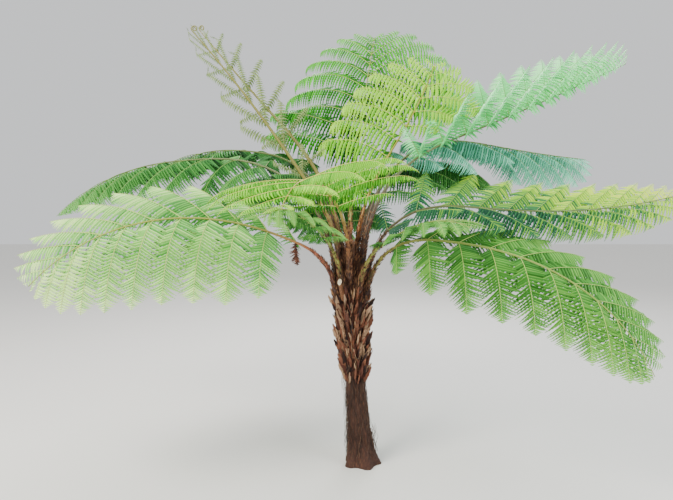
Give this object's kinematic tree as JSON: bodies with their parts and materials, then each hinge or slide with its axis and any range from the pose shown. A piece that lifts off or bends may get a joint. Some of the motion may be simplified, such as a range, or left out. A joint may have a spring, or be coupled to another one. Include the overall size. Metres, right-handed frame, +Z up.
{
  "type": "tree fern",
  "caption": "Young tree fern rooted in the ground: a short leaning trunk clad in old frond bases and a wide crown of arching lacy fronds with croziers at its growing point.",
  "frame": {"origin": "centre of the flat cut under the trunk, at ground level", "axes": "+Z up, +X to the right across the widest spread of the crown, +Y to the back; the plant is seen from the front along +Y"},
  "size_m": [3.303, 2.3486, 2.2806],
  "materials": {
    "bark": "fibrous, matte",
    "frond_sunlit": "leaf, satin",
    "frond_green": "leaf, satin",
    "frond_deep": "leaf, satin",
    "frond_blue": "leaf, satin",
    "frond_young": "young leaf and scales, matte"
  },
  "bodies": {
    "root": {"trunk": "bark", "crozier_tall": "frond_young", "crozier_small": "frond_young", "frond_front_left_inner": "frond_sunlit", "frond_front_left_outer": "frond_sunlit", "frond_front_right_inner": "frond_green", "frond_front_right_outer": "frond_green", "frond_back_low_inner": "frond_deep", "frond_back_low_outer": "frond_deep", "frond_short_right": "frond_green", "frond_left_inner": "frond_deep", "frond_left_outer": "frond_deep", "frond_short_left": "frond_green", "frond_back_left_inner": "frond_deep", "frond_back_left_outer": "frond_deep", "frond_right_level_inner": "frond_sunlit", "frond_right_level_outer": "frond_sunlit", "frond_back_right_inner": "frond_deep", "frond_back_right_outer": "frond_deep", "frond_left_high_inner": "frond_deep", "frond_left_high_outer": "frond_deep", "frond_right_back_inner": "frond_blue", "frond_right_back_outer": "frond_blue", "frond_right_high_inner": "frond_green", "frond_right_high_outer": "frond_green", "frond_front": "frond_sunlit", "frond_upright": "frond_sunlit", "frond_upright_back": "frond_green", "frond_young_outer": "frond_young", "frond_young_inner": "frond_young"}
  },
  "joints": []
}
